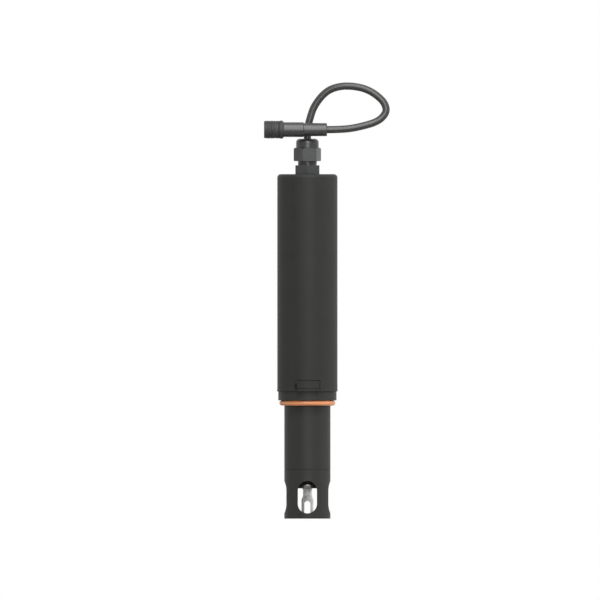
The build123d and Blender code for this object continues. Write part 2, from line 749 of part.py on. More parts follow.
def plug_shell():
    """Threaded end, flange and front barrel, hollow from the mating face to the split."""
    first, last = PLUG_FLANGE_X
    waist_r = PLUG_THREAD_R - WAIST_DEPTH
    groove_r = waist_r - PLUG_RING_DEPTH
    groove_x = plug_ring_groove()
    shell = turned(
        (SOCKET_R, PLUG_FACE_X),
        (PLUG_THREAD_R - 0.6, PLUG_FACE_X),
        (PLUG_THREAD_R, PLUG_FACE_X + 0.6),
        (PLUG_THREAD_R, PLUG_THREAD_END_X),
        (waist_r, PLUG_THREAD_END_X),
        (waist_r, groove_x[0]),
        (groove_r, groove_x[0]),
        (groove_r, groove_x[1]),
        (waist_r, groove_x[1]),
        (waist_r, first),
        (PLUG_FLANGE_R, first),
        (PLUG_FLANGE_R, last),
        (PLUG_BARREL_R, last + 1.0),
        (PLUG_BARREL_R, PLUG_SPLIT_X - 0.3),
        (PLUG_BARREL_R - 0.3, PLUG_SPLIT_X),
        (SOCKET_R - 0.8, PLUG_SPLIT_X),
        (SOCKET_R - 0.8, INSERT_END_X),
        (SOCKET_R, INSERT_END_X),
    )
    return along_plug(shell)


def plug_ring_groove():
    """Two ends of the groove between the plug's thread and its flange, along X."""
    return PLUG_THREAD_END_X + 0.6, PLUG_FLANGE_X[0] - 0.8


def plug_seal_ring():
    """O-ring in the groove between the plug's thread and its flange."""
    groove_r = PLUG_THREAD_R - WAIST_DEPTH - PLUG_RING_DEPTH
    ring_r = groove_r + PLUG_RING_SECTION_R - SQUEEZE
    return along_plug(o_ring(ring_r, PLUG_RING_SECTION_R, sum(plug_ring_groove()) / 2))


def plug_insert():
    """Contact carrier at the bottom of the socket, with a keyway in its rim."""
    low = PLUG_FACE_X + SOCKET_DEPTH
    insert = rod(SOCKET_R - SQUEEZE, low, INSERT_END_X)
    insert -= block(KEYWAY_WIDTH, 2.0, low, INSERT_END_X, y=SOCKET_R - 0.6)
    for place in pin_places():
        insert -= place * rod(PIN_R, low, INSERT_END_X)
    return along_plug(insert)


def pin_places():
    return PolarLocations(PIN_CIRCLE_R, PIN_COUNT, start_angle=-90)


def plug_pins():
    """Round-nosed pins through the contact carrier."""
    pin = rod(PIN_R, PIN_NOSE_X, PIN_TAIL_X)
    pin = fillet(pin.edges().group_by(Axis.Z)[0], 0.5)
    return Compound(children=[along_plug(place * pin) for place in pin_places()])


def plug_backshell():
    """Slimmer rear barrel with a spigot in the front one and a bore for the cable."""
    shell = turned(
        (CORE_BORE_R, BACKSHELL_SPIGOT_X),
        (SOCKET_R - 0.9, BACKSHELL_SPIGOT_X),
        (SOCKET_R - 0.9, PLUG_SPLIT_X),
        (BACKSHELL_R - 0.2, PLUG_SPLIT_X),
        (BACKSHELL_R, PLUG_SPLIT_X + 0.2),
        (BACKSHELL_R, PLUG_REAR_X - 0.6),
        (BACKSHELL_R - 0.6, PLUG_REAR_X),
        (CABLE_R + 0.1, PLUG_REAR_X),
        (CABLE_R + 0.1, GROMMET_X[1]),
        (GROMMET_BORE_R, GROMMET_X[1]),
        (GROMMET_BORE_R, GROMMET_X[0]),
        (CORE_BORE_R, GROMMET_X[0]),
    )
    return along_plug(shell)


def plug_grommet():
    """Rubber bush that seals the cable in the rear barrel."""
    return along_plug(pipe(GROMMET_BORE_R - SQUEEZE, CABLE_R - SQUEEZE, GROMMET_X[0] + 0.5, GROMMET_X[1] - 0.5))


def plug_cable_end():
    """The cable's end inside the plug, with its jacket."""
    return along_plug(rod(CABLE_R, PLUG_CABLE_END_X, PLUG_REAR_X))


PARTS = {
    "housing": housing(),
    "sensor_barrel": sensor_barrel(),
    "process_o_ring": process_o_ring(),
    "spigot_o_ring_lower": spigot_o_ring(SPIGOT_RING_Z[0]),
    "spigot_o_ring_upper": spigot_o_ring(SPIGOT_RING_Z[1]),
    "guard_cage": guard_cage(),
    "guard_o_ring": guard_o_ring(),
    "cell_head": cell_head(),
    "cell_head_o_ring": cell_head_o_ring(),
    "cell_body": cell_body(),
    "cell_o_ring": cell_o_ring(),
    "cell_lock_nut": cell_lock_nut(),
    "current_electrodes": current_electrodes(),
    "voltage_electrodes": voltage_electrodes(),
    "temperature_sensor": temperature_sensor(),
    "cell_lead_bundle": cell_lead_bundle(),
    "potting_plug": potting_plug(),
    "board_carrier": board_carrier(),
    "carrier_screws": carrier_screws(),
    "main_board": main_board(),
    "board_chips": board_chips(),
    "board_capacitors": board_capacitors(),
    "isolation_transformer": isolation_transformer(),
    "lead_header": lead_header(),
    "cable_terminal": cable_terminal(),
    "terminal_screws": terminal_screws(),
    "cable_cores": cable_cores(),
    "cable_tail": cable_tail(),
    "gland_body": gland_body(),
    "gland_o_ring": gland_o_ring(),
    "gland_lock_nut": gland_lock_nut(),
    "gland_clamp_cage": gland_clamp_cage(),
    "gland_seal": gland_seal(),
    "gland_slip_ring": gland_slip_ring(),
    "gland_dome_nut": gland_dome_nut(),
    "cable": cable(),
    "plug_shell": plug_shell(),
    "plug_seal_ring": plug_seal_ring(),
    "plug_insert": plug_insert(),
    "plug_pins": plug_pins(),
    "plug_backshell": plug_backshell(),
    "plug_grommet": plug_grommet(),
    "plug_cable_end": plug_cable_end(),
}

for name, part in PARTS.items():
    export_step(part, f"parts/{name}.step")

loop = PARTS["cable"]
line = FilletPolyline(*CABLE_ROUTE, radius=route_radii())
print("arc radii:", [round(radius, 1) for radius in route_radii()])
print("cable volume:", round(loop.volume), "section times length:", round(pi * CABLE_R**2 * line.length))
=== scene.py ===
"""Looks of a black four-electrode conductivity sensor with a short plugged lead.

Metres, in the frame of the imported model: +Z up, the guard's foot on z = 0, the front towards -Y.
The file is laid out as an add-on and run as a script. After the sizes and colours come the materials,
the ways to make threads, turned forms and cuts, one operator for each piece or kind, and the stage.
"""

from math import cos, pi, radians, sin, tau

import bmesh
import bpy
from bpy.props import FloatProperty, FloatVectorProperty, IntProperty, PointerProperty
from mathutils import Matrix, Vector


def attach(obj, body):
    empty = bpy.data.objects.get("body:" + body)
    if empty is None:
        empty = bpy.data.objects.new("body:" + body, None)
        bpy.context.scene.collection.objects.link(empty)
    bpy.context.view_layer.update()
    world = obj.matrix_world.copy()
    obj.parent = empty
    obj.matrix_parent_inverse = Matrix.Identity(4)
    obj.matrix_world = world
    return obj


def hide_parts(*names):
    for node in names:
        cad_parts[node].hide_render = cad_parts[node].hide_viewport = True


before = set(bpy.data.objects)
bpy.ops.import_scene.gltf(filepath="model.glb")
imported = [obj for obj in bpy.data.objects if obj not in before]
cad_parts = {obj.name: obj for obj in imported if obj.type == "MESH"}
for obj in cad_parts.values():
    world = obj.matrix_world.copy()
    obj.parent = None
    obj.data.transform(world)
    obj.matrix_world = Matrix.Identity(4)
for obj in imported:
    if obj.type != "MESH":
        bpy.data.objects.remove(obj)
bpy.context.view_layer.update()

bl_info = {
    "name": "Conductivity sensor",
    "version": (1, 0, 0),
    "blender": (4, 5, 0),
    "location": "View3D > Sidebar > Sensor",
    "description": "Lead, threads, finishes and studio for a conductivity sensor",
    "category": "Object",
}

MM = 0.001

# The lead's route, from the gland's mouth round the loop to the plug's rear face, in millimetres
CABLE_ROUTE_MM = [
    (0.0, 0.0, 378.5),
    (0.0, 0.0, 388.5),
    (2.5, 0.0, 398.5),
    (6.5, 0.0, 411.0),
    (18.0, -0.5, 425.5),
    (31.5, -1.5, 430.85),
    (47.0, -3.0, 430.85),
    (61.5, -5.0, 427.0),
    (74.5, -7.0, 417.5),
    (78.95, -8.5, 409.0),
    (77.5, -9.5, 402.5),
    (70.0, -11.0, 395.5),
    (55.5, -12.5, 391.0),
    (37.5, -13.5, 387.5),
    (19.6, -13.5, 387.5),
]

# Plug, along and round its own axis, which lies along X: from its mating face to its split
PLUG_AXIS_Y_MM = -13.5
PLUG_AXIS_Z_MM = 387.5
PLUG_FACE_MM = -43.2
PLUG_THREAD_MM = (-42.1, -32.1)
PLUG_THREAD_END_MM = -31.0
PLUG_CONE_END_MM = -23.1
PLUG_COUPLING_END_MM = -24.9
PLUG_SPLIT_MM = -3.8
PLUG_CREST_R_MM = 8.95
PLUG_WAIST_R_MM = 8.75
PLUG_BARREL_R_MM = 7.4
PLUG_BORE_R_MM = 5.8

# Radius and both ends of the plug's groove and flange, and radius and end of its socket
PLUG_GROOVE_MM = (7.2, -29.05, -27.35)
PLUG_FLANGE_MM = (9.1, -27.0, -24.85)
PLUG_SOCKET_MM = (6.6, -20.0)

# Places of the fine threads. The nut's starts this many turns up the neck's, just inside the nut's foot,
# and the half turn lays it in the neck's grooves.
NECK_THREAD_MM = (352.3, 363.7)
NECK_R_MM = 9.3
NUT_THREAD_R_MM = 9.6
NUT_THREAD_START_TURNS = 3.5
BARREL_THREAD_MM = (39.3, 44.1)
BARREL_THREAD_R_MM = 19.9
GUARD_THREAD_R_MM = 20.2

# Points closer than this are one point before a cut
MERGE_DISTANCE = 0.001 * MM

# A ridge's root and crest, as shares of the pitch, its run-out in turns, and its size where it ends
RIDGE_ROOT = 1.15
RIDGE_CREST = 0.35
RIDGE_RUN_OUT = 0.5
RIDGE_END_SCALE = 0.02

# Lugs: the two sides of the front one on X, the heights of foot, lip and top, the radius of the lug's face
# and of its lip's, and the radius inside the wall that both start from
LUG_SIDES_MM = (-10.4, 12.1)
LUG_HEIGHTS_MM = (126.7, 129.1, 137.1)
LUG_R_MM = 31.4
LIP_R_MM = 31.8
LUG_ROOT_R_MM = 28.5

# Relief cuts round a lug: the radius of each floor and its width, and the left one's height above the foot
LEFT_RELIEF_MM = (28.4, 2.0, 7.5)
TOP_RELIEF_MM = (29.3, 0.8)
RIGHT_RELIEF_MM = (29.2, 0.6)
LIP_RELIEF_MM = (30.9, 0.6)

# The cuts reach out to this radius, and this far past the lug's foot and the lip's sides
CUT_R_MM = 33.0
CUT_MARGIN_MM = 1.0

# Guard: its tube, the groove for its friction ring by radius and both heights, its four windows, and how far
# the bars that cut them reach
GUARD_R_MM = 23.0
GUARD_BORE_R_MM = 20.2
GUARD_TOP_MM = 49.0
GUARD_GROOVE_MM = (21.9, 44.45, 46.55)
WINDOW_HEIGHTS_MM = (5.3, 37.5)
WINDOW_HALF_WIDTH_MM = 9.5
WINDOW_REACH_MM = 30

# Cell head. The shoulder is given by its centre's radius and height and by its own radius, and the collar,
# the groove and the pocket by their radius and both heights.
HEAD_FOOT_MM = 30.2
HEAD_TOP_MM = 58.0
HEAD_STEM_R_MM = 9.9
HEAD_BORE_R_MM = 4.35
HEAD_SHOULDER_MM = (10.0, 33.1, 3.7)
HEAD_COLLAR_MM = (12.0, 36.3, 38.5)
HEAD_GROOVE_MM = (8.5, 39.7, 41.9)
HEAD_POCKET_MM = (5.9, 50.0, 52.2)

# Process ring: radius of its section and its bore, and the height of the collar that it lies against
RING_SECTION_R_MM = 2.65
RING_BORE_R_MM = 22.65
COLLAR_FOOT_MM = 117.85

# How much a grain swings the roughness, how wide the slow drift of a shade is, and the spacing of the
# wave texture's bands at a scale of one
ROUGHNESS_SWING = 0.05
DRIFT_WIDTH = 18 * MM
WAVE_PERIOD = pi / 10

# Stage, in metres: the camera, the point that the lamps shine on, the floor and the softbox
CAMERA_AT = (-7.35 * MM, -2.0, 217.8 * MM)
MIDDLE_Z = 0.22
FLOOR_HALF = 3.0
STRIP_DISTANCE = 2.5
STRIP_SIZE = (1.45, 3.9)

# Azimuth and elevation of the lights, and how wide the lamps are, in degrees
STRIP_ANGLES = (4, 38)
LAMPS = {"key": (4, 62, 24), "fill": (0, -6, 70), "side": (90, 12, 45), "left": (-90, 5, 60)}

# Tone of the floor for the light that it throws back up
FLOOR_BOUNCE = "#585858"


def linear(hex_colour):
    """Linear RGBA of an sRGB hex colour."""
    channels = [int(hex_colour[i : i + 2], 16) / 255 for i in (1, 3, 5)]
    return *(c / 12.92 if c <= 0.04045 else ((c + 0.055) / 1.055) ** 2.4 for c in channels), 1.0


def swatch(name, description, hex_colour):
    """Colour property with an sRGB hex default."""
    return FloatVectorProperty(
        name=name, description=description, default=linear(hex_colour), size=4, min=0, max=1, subtype="COLOR"
    )


def length(name, description, millimetres):
    """Length property with its default in millimetres."""
    return FloatProperty(
        name=name, description=description, default=millimetres * MM, min=0, precision=5, unit="LENGTH"
    )


def level(name, description, default):
    """Plain number from nought up."""
    return FloatProperty(name=name, description=description, default=default, min=0)


class SensorColours(bpy.types.PropertyGroup):
    """Colours of the sensor's materials."""

    housing: swatch("Housing", "Moulded housing", "#343432")
    barrel: swatch("Barrel", "Turned barrel, collar and guard", "#343432")
    head: swatch("Cell head", "Polished head that holds the cell", "#37322f")
    gland: swatch("Gland", "Cable gland", "#353636")
    ring: swatch("Ring", "Silicone ring under the collar", "#fba671")
    rubber: swatch("Seals", "Seals of black rubber", "#2b2b2b")
    cell: swatch("Cell", "Ceramic measuring cell", "#ececea")
    platinum: swatch("Electrodes", "Platinum plates", "#cfcbc4")
    jacket: swatch("Lead", "Jacket of the lead", "#343433")
    plug: swatch("Plug", "Both barrels of the plug", "#3a3b3a")
    coupling: swatch("Coupling", "Threaded end of the plug", "#2f302f")
    insert: swatch("Insert", "Contact carrier", "#232425")
    pins: swatch("Pins", "Gilt contact pins", "#e0b45c")


class SensorSizes(bpy.types.PropertyGroup):
    """Sizes that the finishes and threads are worked out from."""

    cable_diameter: length("Lead", "Diameter of the lead", 7.4)
    plug_pitch: length("Plug pitch", "Pitch of the plug's thread", 2.0)
    plug_depth: length("Plug depth", "Depth of the plug's thread", 0.45)
    fine_pitch: length("Fine pitch", "Pitch of the gland's and the guard's threads", 1.5)
    fine_depth: length("Fine depth", "Visible height of the gland's and the guard's threads", 0.23)
    # The grain and the marks are finer on the real part, and are drawn as coarse as they need to show
    grain: length("Grain", "Width of the moulded grain", 0.45)
    tool_mark: length("Tool mark", "Spacing of the turning marks", 0.5)
    edge: length("Edge", "Roundness of the moulded edges", 0.3)
    thread_steps: IntProperty(name="Steps", description="Points in a turn of a thread", default=72, min=12)


class SensorStage(bpy.types.PropertyGroup):
    """Camera, lamps and floor."""

    floor: swatch("Floor", "Plain floor as the camera sees it", "#eeeeec")
    key: level("Key", "Strength of the high front lamp", 2.3)
    fill: level("Fill", "Strength of the wide, low front lamp", 1.6)
    side: level("Side", "Strength of the lamp on the right", 2.0)
    left: level("Left", "Strength of the weak lamp on the left", 0.35)
    strip: level("Strip", "Brightness of the tall softbox that the glosses show", 5.2)
    ambient: level("Ambient", "Strength of the light from all round", 0.05)
    view_width: length("View", "Width of the camera's view", 597.6)


def scene_colours():
    """The scene's colours."""
    return bpy.context.scene.sensor_colours


def scene_sizes():
    """The scene's sizes."""
    return bpy.context.scene.sensor_sizes


def node(tree, kind, settings=(), inputs=()):
    """Add a node. Its settings are properties, and its inputs are values or the sockets they come from."""
    made = tree.nodes.new(kind)
    for name, value in dict(settings).items():
        setattr(made, name, value)
    for key, value in dict(inputs).items():
        if isinstance(value, bpy.types.NodeSocket):
            tree.links.new(value, made.inputs[key])
        else:
            made.inputs[key].default_value = value
    return made


def place(obj):
    """Link a finished object to the scene."""
    bpy.context.scene.collection.objects.link(obj)
    return obj


def smooth_by_angle(mesh, angle=35):
    """Shade smooth, and keep the edges sharper than the angle."""
    mesh.polygons.foreach_set("use_smooth", [True] * len(mesh.polygons))
    mesh.set_sharp_from_angle(angle=radians(angle))


# Materials


def blank_material(name):
    """Material with a Principled shader, and that shader."""
    material = bpy.data.materials.new(name)
    material.use_nodes = True
    return material, material.node_tree.nodes["Principled BSDF"]


def grained(colour, roughness, grain, depth, drift=0.10, edge=0.0, **shader_values):
    """Solid-coloured surface with a fine grain, a slow drift of its shade and softened edges."""
    material, shader = blank_material("grained")
    tree = material.node_tree
    where = node(tree, "ShaderNodeTexCoord").outputs["Object"]
    fine = node(tree, "ShaderNodeTexNoise", (), {"Vector": where, "Scale": 1 / grain, "Detail": 3.0})
    slow = node(tree, "ShaderNodeTexNoise", (), {"Vector": where, "Scale": 1 / DRIFT_WIDTH, "Detail": 2.0})
    shade_inputs = {"Value": slow.outputs["Fac"], "To Min": 1 - drift, "To Max": 1 + drift}
    shade = node(tree, "ShaderNodeMapRange", (), shade_inputs)
    tint_inputs = {0: colour[:3], "Scale": shade.outputs[0]}
    tint = node(tree, "ShaderNodeVectorMath", {"operation": "SCALE"}, tint_inputs)
    low, high = roughness - ROUGHNESS_SWING, roughness + ROUGHNESS_SWING
    gloss_inputs = {"Value": fine.outputs["Fac"], "To Min": low, "To Max": high}
    gloss = node(tree, "ShaderNodeMapRange", (), gloss_inputs)
    bump_inputs = {"Strength": 1.0, "Distance": depth, "Height": fine.outputs["Fac"]}
    if edge:
        bump_inputs["Normal"] = node(tree, "ShaderNodeBevel", {"samples": 4}, {"Radius": edge}).outputs[0]
    bump = node(tree, "ShaderNodeBump", (), bump_inputs)
    tree.links.new(tint.outputs[0], shader.inputs["Base Color"])
    tree.links.new(gloss.outputs[0], shader.inputs["Roughness"])
    tree.links.new(bump.outputs[0], shader.inputs["Normal"])
    for key, value in shader_values.items():
        shader.inputs[key.replace("_", " ")].default_value = value
    return material


def turned_finish(material, spacing, depth):
    """Add fine turning marks round Z under the grain of a material."""
    tree = material.node_tree
    bump = tree.nodes["Bump"]
    where = node(tree, "ShaderNodeTexCoord").outputs["Object"]
    rings = node(
        tree,
        "ShaderNodeTexWave",
        {"bands_direction": "Z"},
        {"Vector": where, "Scale": WAVE_PERIOD / spacing, "Distortion": 0.4, "Detail": 1.0},
    )
    marks = node(tree, "ShaderNodeBump", (), {"Distance": depth, "Height": rings.outputs["Fac"]})
    if bump.inputs["Normal"].links:
        tree.links.new(bump.inputs["Normal"].links[0].from_socket, marks.inputs["Normal"])
    tree.links.new(marks.outputs[0], bump.inputs["Normal"])
    return material


def black_pps_moulded():
    """Moulded PPS with a spark-eroded grain: an even satin that greys softly towards the light."""
    sizes = scene_sizes()
    return grained(
        scene_colours().housing,
        roughness=0.54,
        grain=sizes.grain,
        depth=0.012 * MM,
        edge=sizes.edge,
        Specular_IOR_Level=0.15,
    )


def black_pps_turned():
    """Turned PPS rod: the same black, with faint rings that stretch the gloss along the barrel."""
    sizes = scene_sizes()
    material = grained(
        scene_colours().barrel,
        roughness=0.48,
        grain=sizes.grain,
        depth=0.008 * MM,
        edge=sizes.edge,
        Specular_IOR_Level=0.18,
    )
    return turned_finish(material, sizes.tool_mark, 0.006 * MM)


def head_pvdf_polished():
    """Polished black PVDF: nearly black, with one small clear highlight."""
    return grained(
        scene_colours().head,
        roughness=0.12,
        grain=2 * MM,
        depth=0.001 * MM,
        Specular_IOR_Level=1.0,
        Coat_Weight=1.0,
    )


def gland_polyamide_moulded():
    """Moulded polyamide 6: smooth and slightly waxy, with crisp lights on the flats' edges."""
    colour, sizes = scene_colours().gland, scene_sizes()
    return grained(colour, roughness=0.30, grain=sizes.grain, depth=0.006 * MM, edge=sizes.edge)


def ring_silicone():
    """Moulded silicone rubber: bright orange, a little light passes into it, with a soft bloom."""
    return grained(
        scene_colours().ring,
        roughness=0.28,
        grain=0.3 * MM,
        depth=0.002 * MM,
        drift=0.02,
        Subsurface_Weight=0.15,
        Subsurface_Scale=1.5 * MM,
    )


def seal_rubber_moulded():
    """Moulded EPDM: dark, dull and very slightly rough."""
    return grained(scene_colours().rubber, roughness=0.65, grain=0.3 * MM, depth=0.006 * MM)


def cell_alumina_ground():
    """Ground alumina: near white and close-grained, lit through a little, with a silky gloss."""
    return grained(
        scene_colours().cell,
        roughness=0.34,
        grain=0.25 * MM,
        depth=0.003 * MM,
        drift=0.03,
        Subsurface_Weight=0.8,
        Subsurface_Radius=(1, 1, 1),
        Subsurface_Scale=5 * MM,
    )


def platinum_brushed():
    """Rolled platinum sheet, brushed: a warm grey metal with a fine, even blur."""
    colour = scene_colours().platinum
    return grained(colour, roughness=0.32, grain=0.2 * MM, depth=0.002 * MM, drift=0.03, Metallic=1.0)


def jacket_pur_extruded():
    """Extruded PUR jacket: soft black with an even sheen from the die."""
    return grained(scene_colours().jacket, roughness=0.34, grain=0.8 * MM, depth=0.004 * MM, drift=0.03)


def plug_polyamide_moulded():
    """Moulded glass-filled polyamide: satin black, lighter where an edge catches the light."""
    colour, sizes = scene_colours().plug, scene_sizes()
    return grained(colour, roughness=0.34, grain=sizes.grain, depth=0.008 * MM, edge=sizes.edge)


def coupling_pbt_moulded():
    """Moulded glass-filled PBT with a spark-eroded texture: dull, so only the thread's crests catch light."""
    return grained(scene_colours().coupling, roughness=0.62, grain=scene_sizes().grain, depth=0.008 * MM)


def insert_pbt_moulded():
    """Moulded PBT contact carrier: dark and matt."""
    return grained(scene_colours().insert, roughness=0.50, grain=0.3 * MM, depth=0.006 * MM)


def pins_gilt():
    """Gold-flashed turned brass: a bright yellow metal with a clear reflection."""
    colour = scene_colours().pins
    return grained(colour, roughness=0.20, grain=0.3 * MM, depth=0.002 * MM, drift=0.03, Metallic=1.0)


def thermistor_glass():
    """Drawn glass bead: clear grey with a sharp gloss."""
    colour = linear("#aab4b0")
    return grained(colour, roughness=0.06, grain=1 * MM, depth=0.002 * MM, Transmission_Weight=0.6)


def resin_cast():
    """Cast epoxy: black-brown and glossy, with the slow ripple of a free surface."""
    return grained(linear("#2a2320"), roughness=0.18, grain=6 * MM, depth=0.05 * MM)


def carrier_abs_moulded():
    """Moulded ABS: light grey and satin."""
    return grained(linear("#8d8f8e"), roughness=0.42, grain=0.4 * MM, depth=0.008 * MM, edge=0.2 * MM)


def steel_zinc_plated():
    """Zinc-plated steel: cool bright metal with a slightly clouded gloss."""
    return grained(linear("#c6c9cc"), roughness=0.30, grain=0.6 * MM, depth=0.004 * MM, Metallic=1.0)


def chip_epoxy_moulded():
    """Transfer-moulded epoxy: charcoal with a dry, fine grain."""
    return grained(linear("#26272a"), roughness=0.60, grain=0.15 * MM, depth=0.005 * MM)


def can_aluminium_drawn():
    """Drawn aluminium can: light metal, softly blurred along the draw."""
    return grained(linear("#d0d2d4"), roughness=0.28, grain=0.4 * MM, depth=0.003 * MM, Metallic=1.0)


def ferrite_pressed():
    """Pressed and fired ferrite: dark grey, dense and dull."""
    return grained(linear("#3a3a3e"), roughness=0.55, grain=0.2 * MM, depth=0.010 * MM)


def connector_pbt_moulded():
    """Moulded green PBT of terminal blocks and headers: flat colour with a low gloss."""
    return grained(linear("#2f6b4a"), roughness=0.45, grain=0.3 * MM, depth=0.006 * MM, edge=0.15 * MM)


def core_pvc_extruded():
    """Extruded PVC core insulation: each core has its own plain colour."""
    material = grained(linear("#ffffff"), roughness=0.40, grain=0.4 * MM, depth=0.004 * MM)
    tree = material.node_tree
    island = node(tree, "ShaderNodeNewGeometry").outputs["Random Per Island"]
    colours = node(tree, "ShaderNodeValToRGB", (), {"Fac": island})
    colours.color_ramp.interpolation = "CONSTANT"
    stops = colours.color_ramp.elements
    stops[1].position = 0.25
    for position in (0.5, 0.75):
        stops.new(position)
    for stop, hex_colour in zip(stops, ("#5b3a23", "#e6e4de", "#2b4f93", "#222222")):
        stop.color = linear(hex_colour)
    tree.links.new(colours.outputs["Color"], tree.nodes["Principled BSDF"].inputs["Base Color"])
    return material


def board_solder_mask():
    """Solder mask over copper on glass-filled epoxy: green, with lighter tracks along the board."""
    material = grained(linear("#1d5a3a"), roughness=0.28, grain=0.5 * MM, depth=0.004 * MM)
    tree = material.node_tree
    where = node(tree, "ShaderNodeTexCoord").outputs["Object"]
    upright = node(tree, "ShaderNodeMapping", (), {"Vector": where, "Rotation": (pi / 2, 0, 0)})
    tracks = node(
        tree,
        "ShaderNodeTexBrick",
        {"offset": 0.37},
        {
            "Vector": upright.outputs[0],
            "Color1": linear("#1d5a3a"),
            "Color2": linear("#205f3e"),
            "Mortar": linear("#3b8a5b"),
            "Scale": 1.0,
            "Mortar Size": 0.15 * MM,
            "Brick Width": 6.5 * MM,
            "Row Height": 1.9 * MM,
        },
    )
    tree.links.new(tracks.outputs["Color"], tree.nodes["Principled BSDF"].inputs["Base Color"])
    return material


FINISHES = {
    black_pps_turned: ["sensor_barrel"],
    head_pvdf_polished: ["cell_lock_nut"],
    gland_polyamide_moulded: [
        "gland_body",
        "gland_dome_nut",
        "gland_lock_nut",
        "gland_clamp_cage",
        "gland_slip_ring",
    ],
    seal_rubber_moulded: [
        "spigot_o_ring_lower",
        "spigot_o_ring_upper",
        "guard_o_ring",
        "cell_head_o_ring",
        "cell_o_ring",
        "gland_o_ring",
        "gland_seal",
        "plug_seal_ring",
        "plug_grommet",
    ],
    cell_alumina_ground: ["cell_body"],
    platinum_brushed: ["current_electrodes", "voltage_electrodes"],
    thermistor_glass: ["temperature_sensor"],
    jacket_pur_extruded: ["cable_tail", "plug_cable_end", "cell_lead_bundle"],
    resin_cast: ["potting_plug"],
    carrier_abs_moulded: ["board_carrier"],
    steel_zinc_plated: ["carrier_screws", "terminal_screws"],
    board_solder_mask: ["main_board"],
    chip_epoxy_moulded: ["board_chips"],
    can_aluminium_drawn: ["board_capacitors"],
    ferrite_pressed: ["isolation_transformer"],
    connector_pbt_moulded: ["lead_header", "cable_terminal"],
    core_pvc_extruded: ["cable_cores"],
    plug_polyamide_moulded: ["plug_backshell"],
    insert_pbt_moulded: ["plug_insert"],
    pins_gilt: ["plug_pins"],
}


def finish_of(make):
    """The one material that a maker gives, made at its first use."""
    found = bpy.data.materials.get(make.__name__)
    if found is None:
        found = make()
        found.name = make.__name__
    return found


# Threads, turned forms and cuts


def thread_tree():
    """Geometry nodes for one screw ridge round Z that rises out of a wall and runs out at both ends."""
    tree = bpy.data.node_groups.new("screw_ridge", "GeometryNodeTree")
    for name, kind in (
        ("Radius", "NodeSocketFloat"),
        ("Length", "NodeSocketFloat"),
        ("Turns", "NodeSocketFloat"),
        ("Steps", "NodeSocketInt"),
        ("Inner width", "NodeSocketFloat"),
        ("Outer width", "NodeSocketFloat"),
        ("Height", "NodeSocketFloat"),
        ("Run-out", "NodeSocketFloat"),
        ("Material", "NodeSocketMaterial"),
    ):
        tree.interface.new_socket(name=name, in_out="INPUT", socket_type=kind)
    tree.interface.new_socket(name="Geometry", in_out="OUTPUT", socket_type="NodeSocketGeometry")
    given = node(tree, "NodeGroupInput").outputs
    helix = node(
        tree,
        "GeometryNodeCurveSpiral",
        (),
        {
            "Resolution": given["Steps"],
            "Rotations": given["Turns"],
            "Start Radius": given["Radius"],
            "End Radius": given["Radius"],
            "Height": given["Length"],
            "Reverse": True,
        },
    )
    upright = node(tree, "GeometryNodeSetCurveNormal", {"mode": "Z_UP"}, {"Curve": helix.outputs[0]})
    section = node(
        tree,
        "GeometryNodeCurvePrimitiveQuadrilateral",
        {"mode": "TRAPEZOID"},
        {
            "Bottom Width": given["Inner width"],
            "Top Width": given["Outer width"],
            "Offset": 0.0,
            "Height": given["Height"],
        },
    )
    outward = node(
        tree, "GeometryNodeTransform", (), {"Geometry": section.outputs[0], "Rotation": (0, 0, -pi / 2)}
    )
    along = node(tree, "GeometryNodeSplineParameter").outputs["Factor"]
    rest = node(tree, "ShaderNodeMath", {"operation": "SUBTRACT"}, {0: 1.0, 1: along})
    end = node(tree, "ShaderNodeMath", {"operation": "MINIMUM"}, {0: along, 1: rest.outputs[0]})
    fade_inputs = {"Value": end.outputs[0], "From Max": given["Run-out"], "To Min": RIDGE_END_SCALE}
    fade = node(tree, "ShaderNodeMapRange", (), fade_inputs)
    ridge = node(
        tree,
        "GeometryNodeCurveToMesh",
        (),
        {
            "Curve": upright.outputs[0],
            "Profile Curve": outward.outputs[0],
            "Scale": fade.outputs[0],
            "Fill Caps": True,
        },
    )
    solid = node(tree, "GeometryNodeRealizeInstances", (), {"Geometry": ridge.outputs[0]})
    painted_inputs = {"Geometry": solid.outputs[0], "Material": given["Material"]}
    painted = node(tree, "GeometryNodeSetMaterial", (), painted_inputs)
    node(tree, "NodeGroupOutput", (), {"Geometry": painted.outputs[0]})
    return tree


def screw_ridge(name, radius, low, high, pitch, rise, material, inward=False):
    """Mesh of a right-hand thread's ridge between two heights on Z, half of it sunk in its wall."""
    tree = bpy.data.node_groups.get("screw_ridge") or thread_tree()
    root, crest = RIDGE_ROOT * pitch, RIDGE_CREST * pitch
    values = {
        "Radius": radius,
        "Length": high - low,
        "Turns": (high - low) / pitch,
        "Steps": scene_sizes().thread_steps,
        "Inner width": crest if inward else root,
        "Outer width": root if inward else crest,
        "Height": 2 * rise,
        "Run-out": RIDGE_RUN_OUT * pitch / (high - low),
        "Material": material,
    }
    holder = place(bpy.data.objects.new(name, bpy.data.meshes.new(name)))
    modifier = holder.modifiers.new("thread", "NODES")
    modifier.node_group = tree
    for item in tree.interface.items_tree:
        if item.in_out == "INPUT":
            modifier[item.identifier] = values[item.name]
    seen = holder.evaluated_get(bpy.context.evaluated_depsgraph_get())
    mesh = bpy.data.meshes.new_from_object(seen)
    bpy.data.objects.remove(holder)
    mesh.name = name
    mesh.transform(Matrix.Translation((0, 0, low)))
    outward_faces(mesh)
    smooth_by_angle(mesh)
    return mesh


def outward_faces(mesh):
    """Turn every face of a closed mesh outwards."""
    shape = bmesh.new()
    shape.from_mesh(mesh)
    bmesh.ops.recalc_face_normals(shape, faces=shape.faces)
    shape.to_mesh(mesh)
    shape.free()


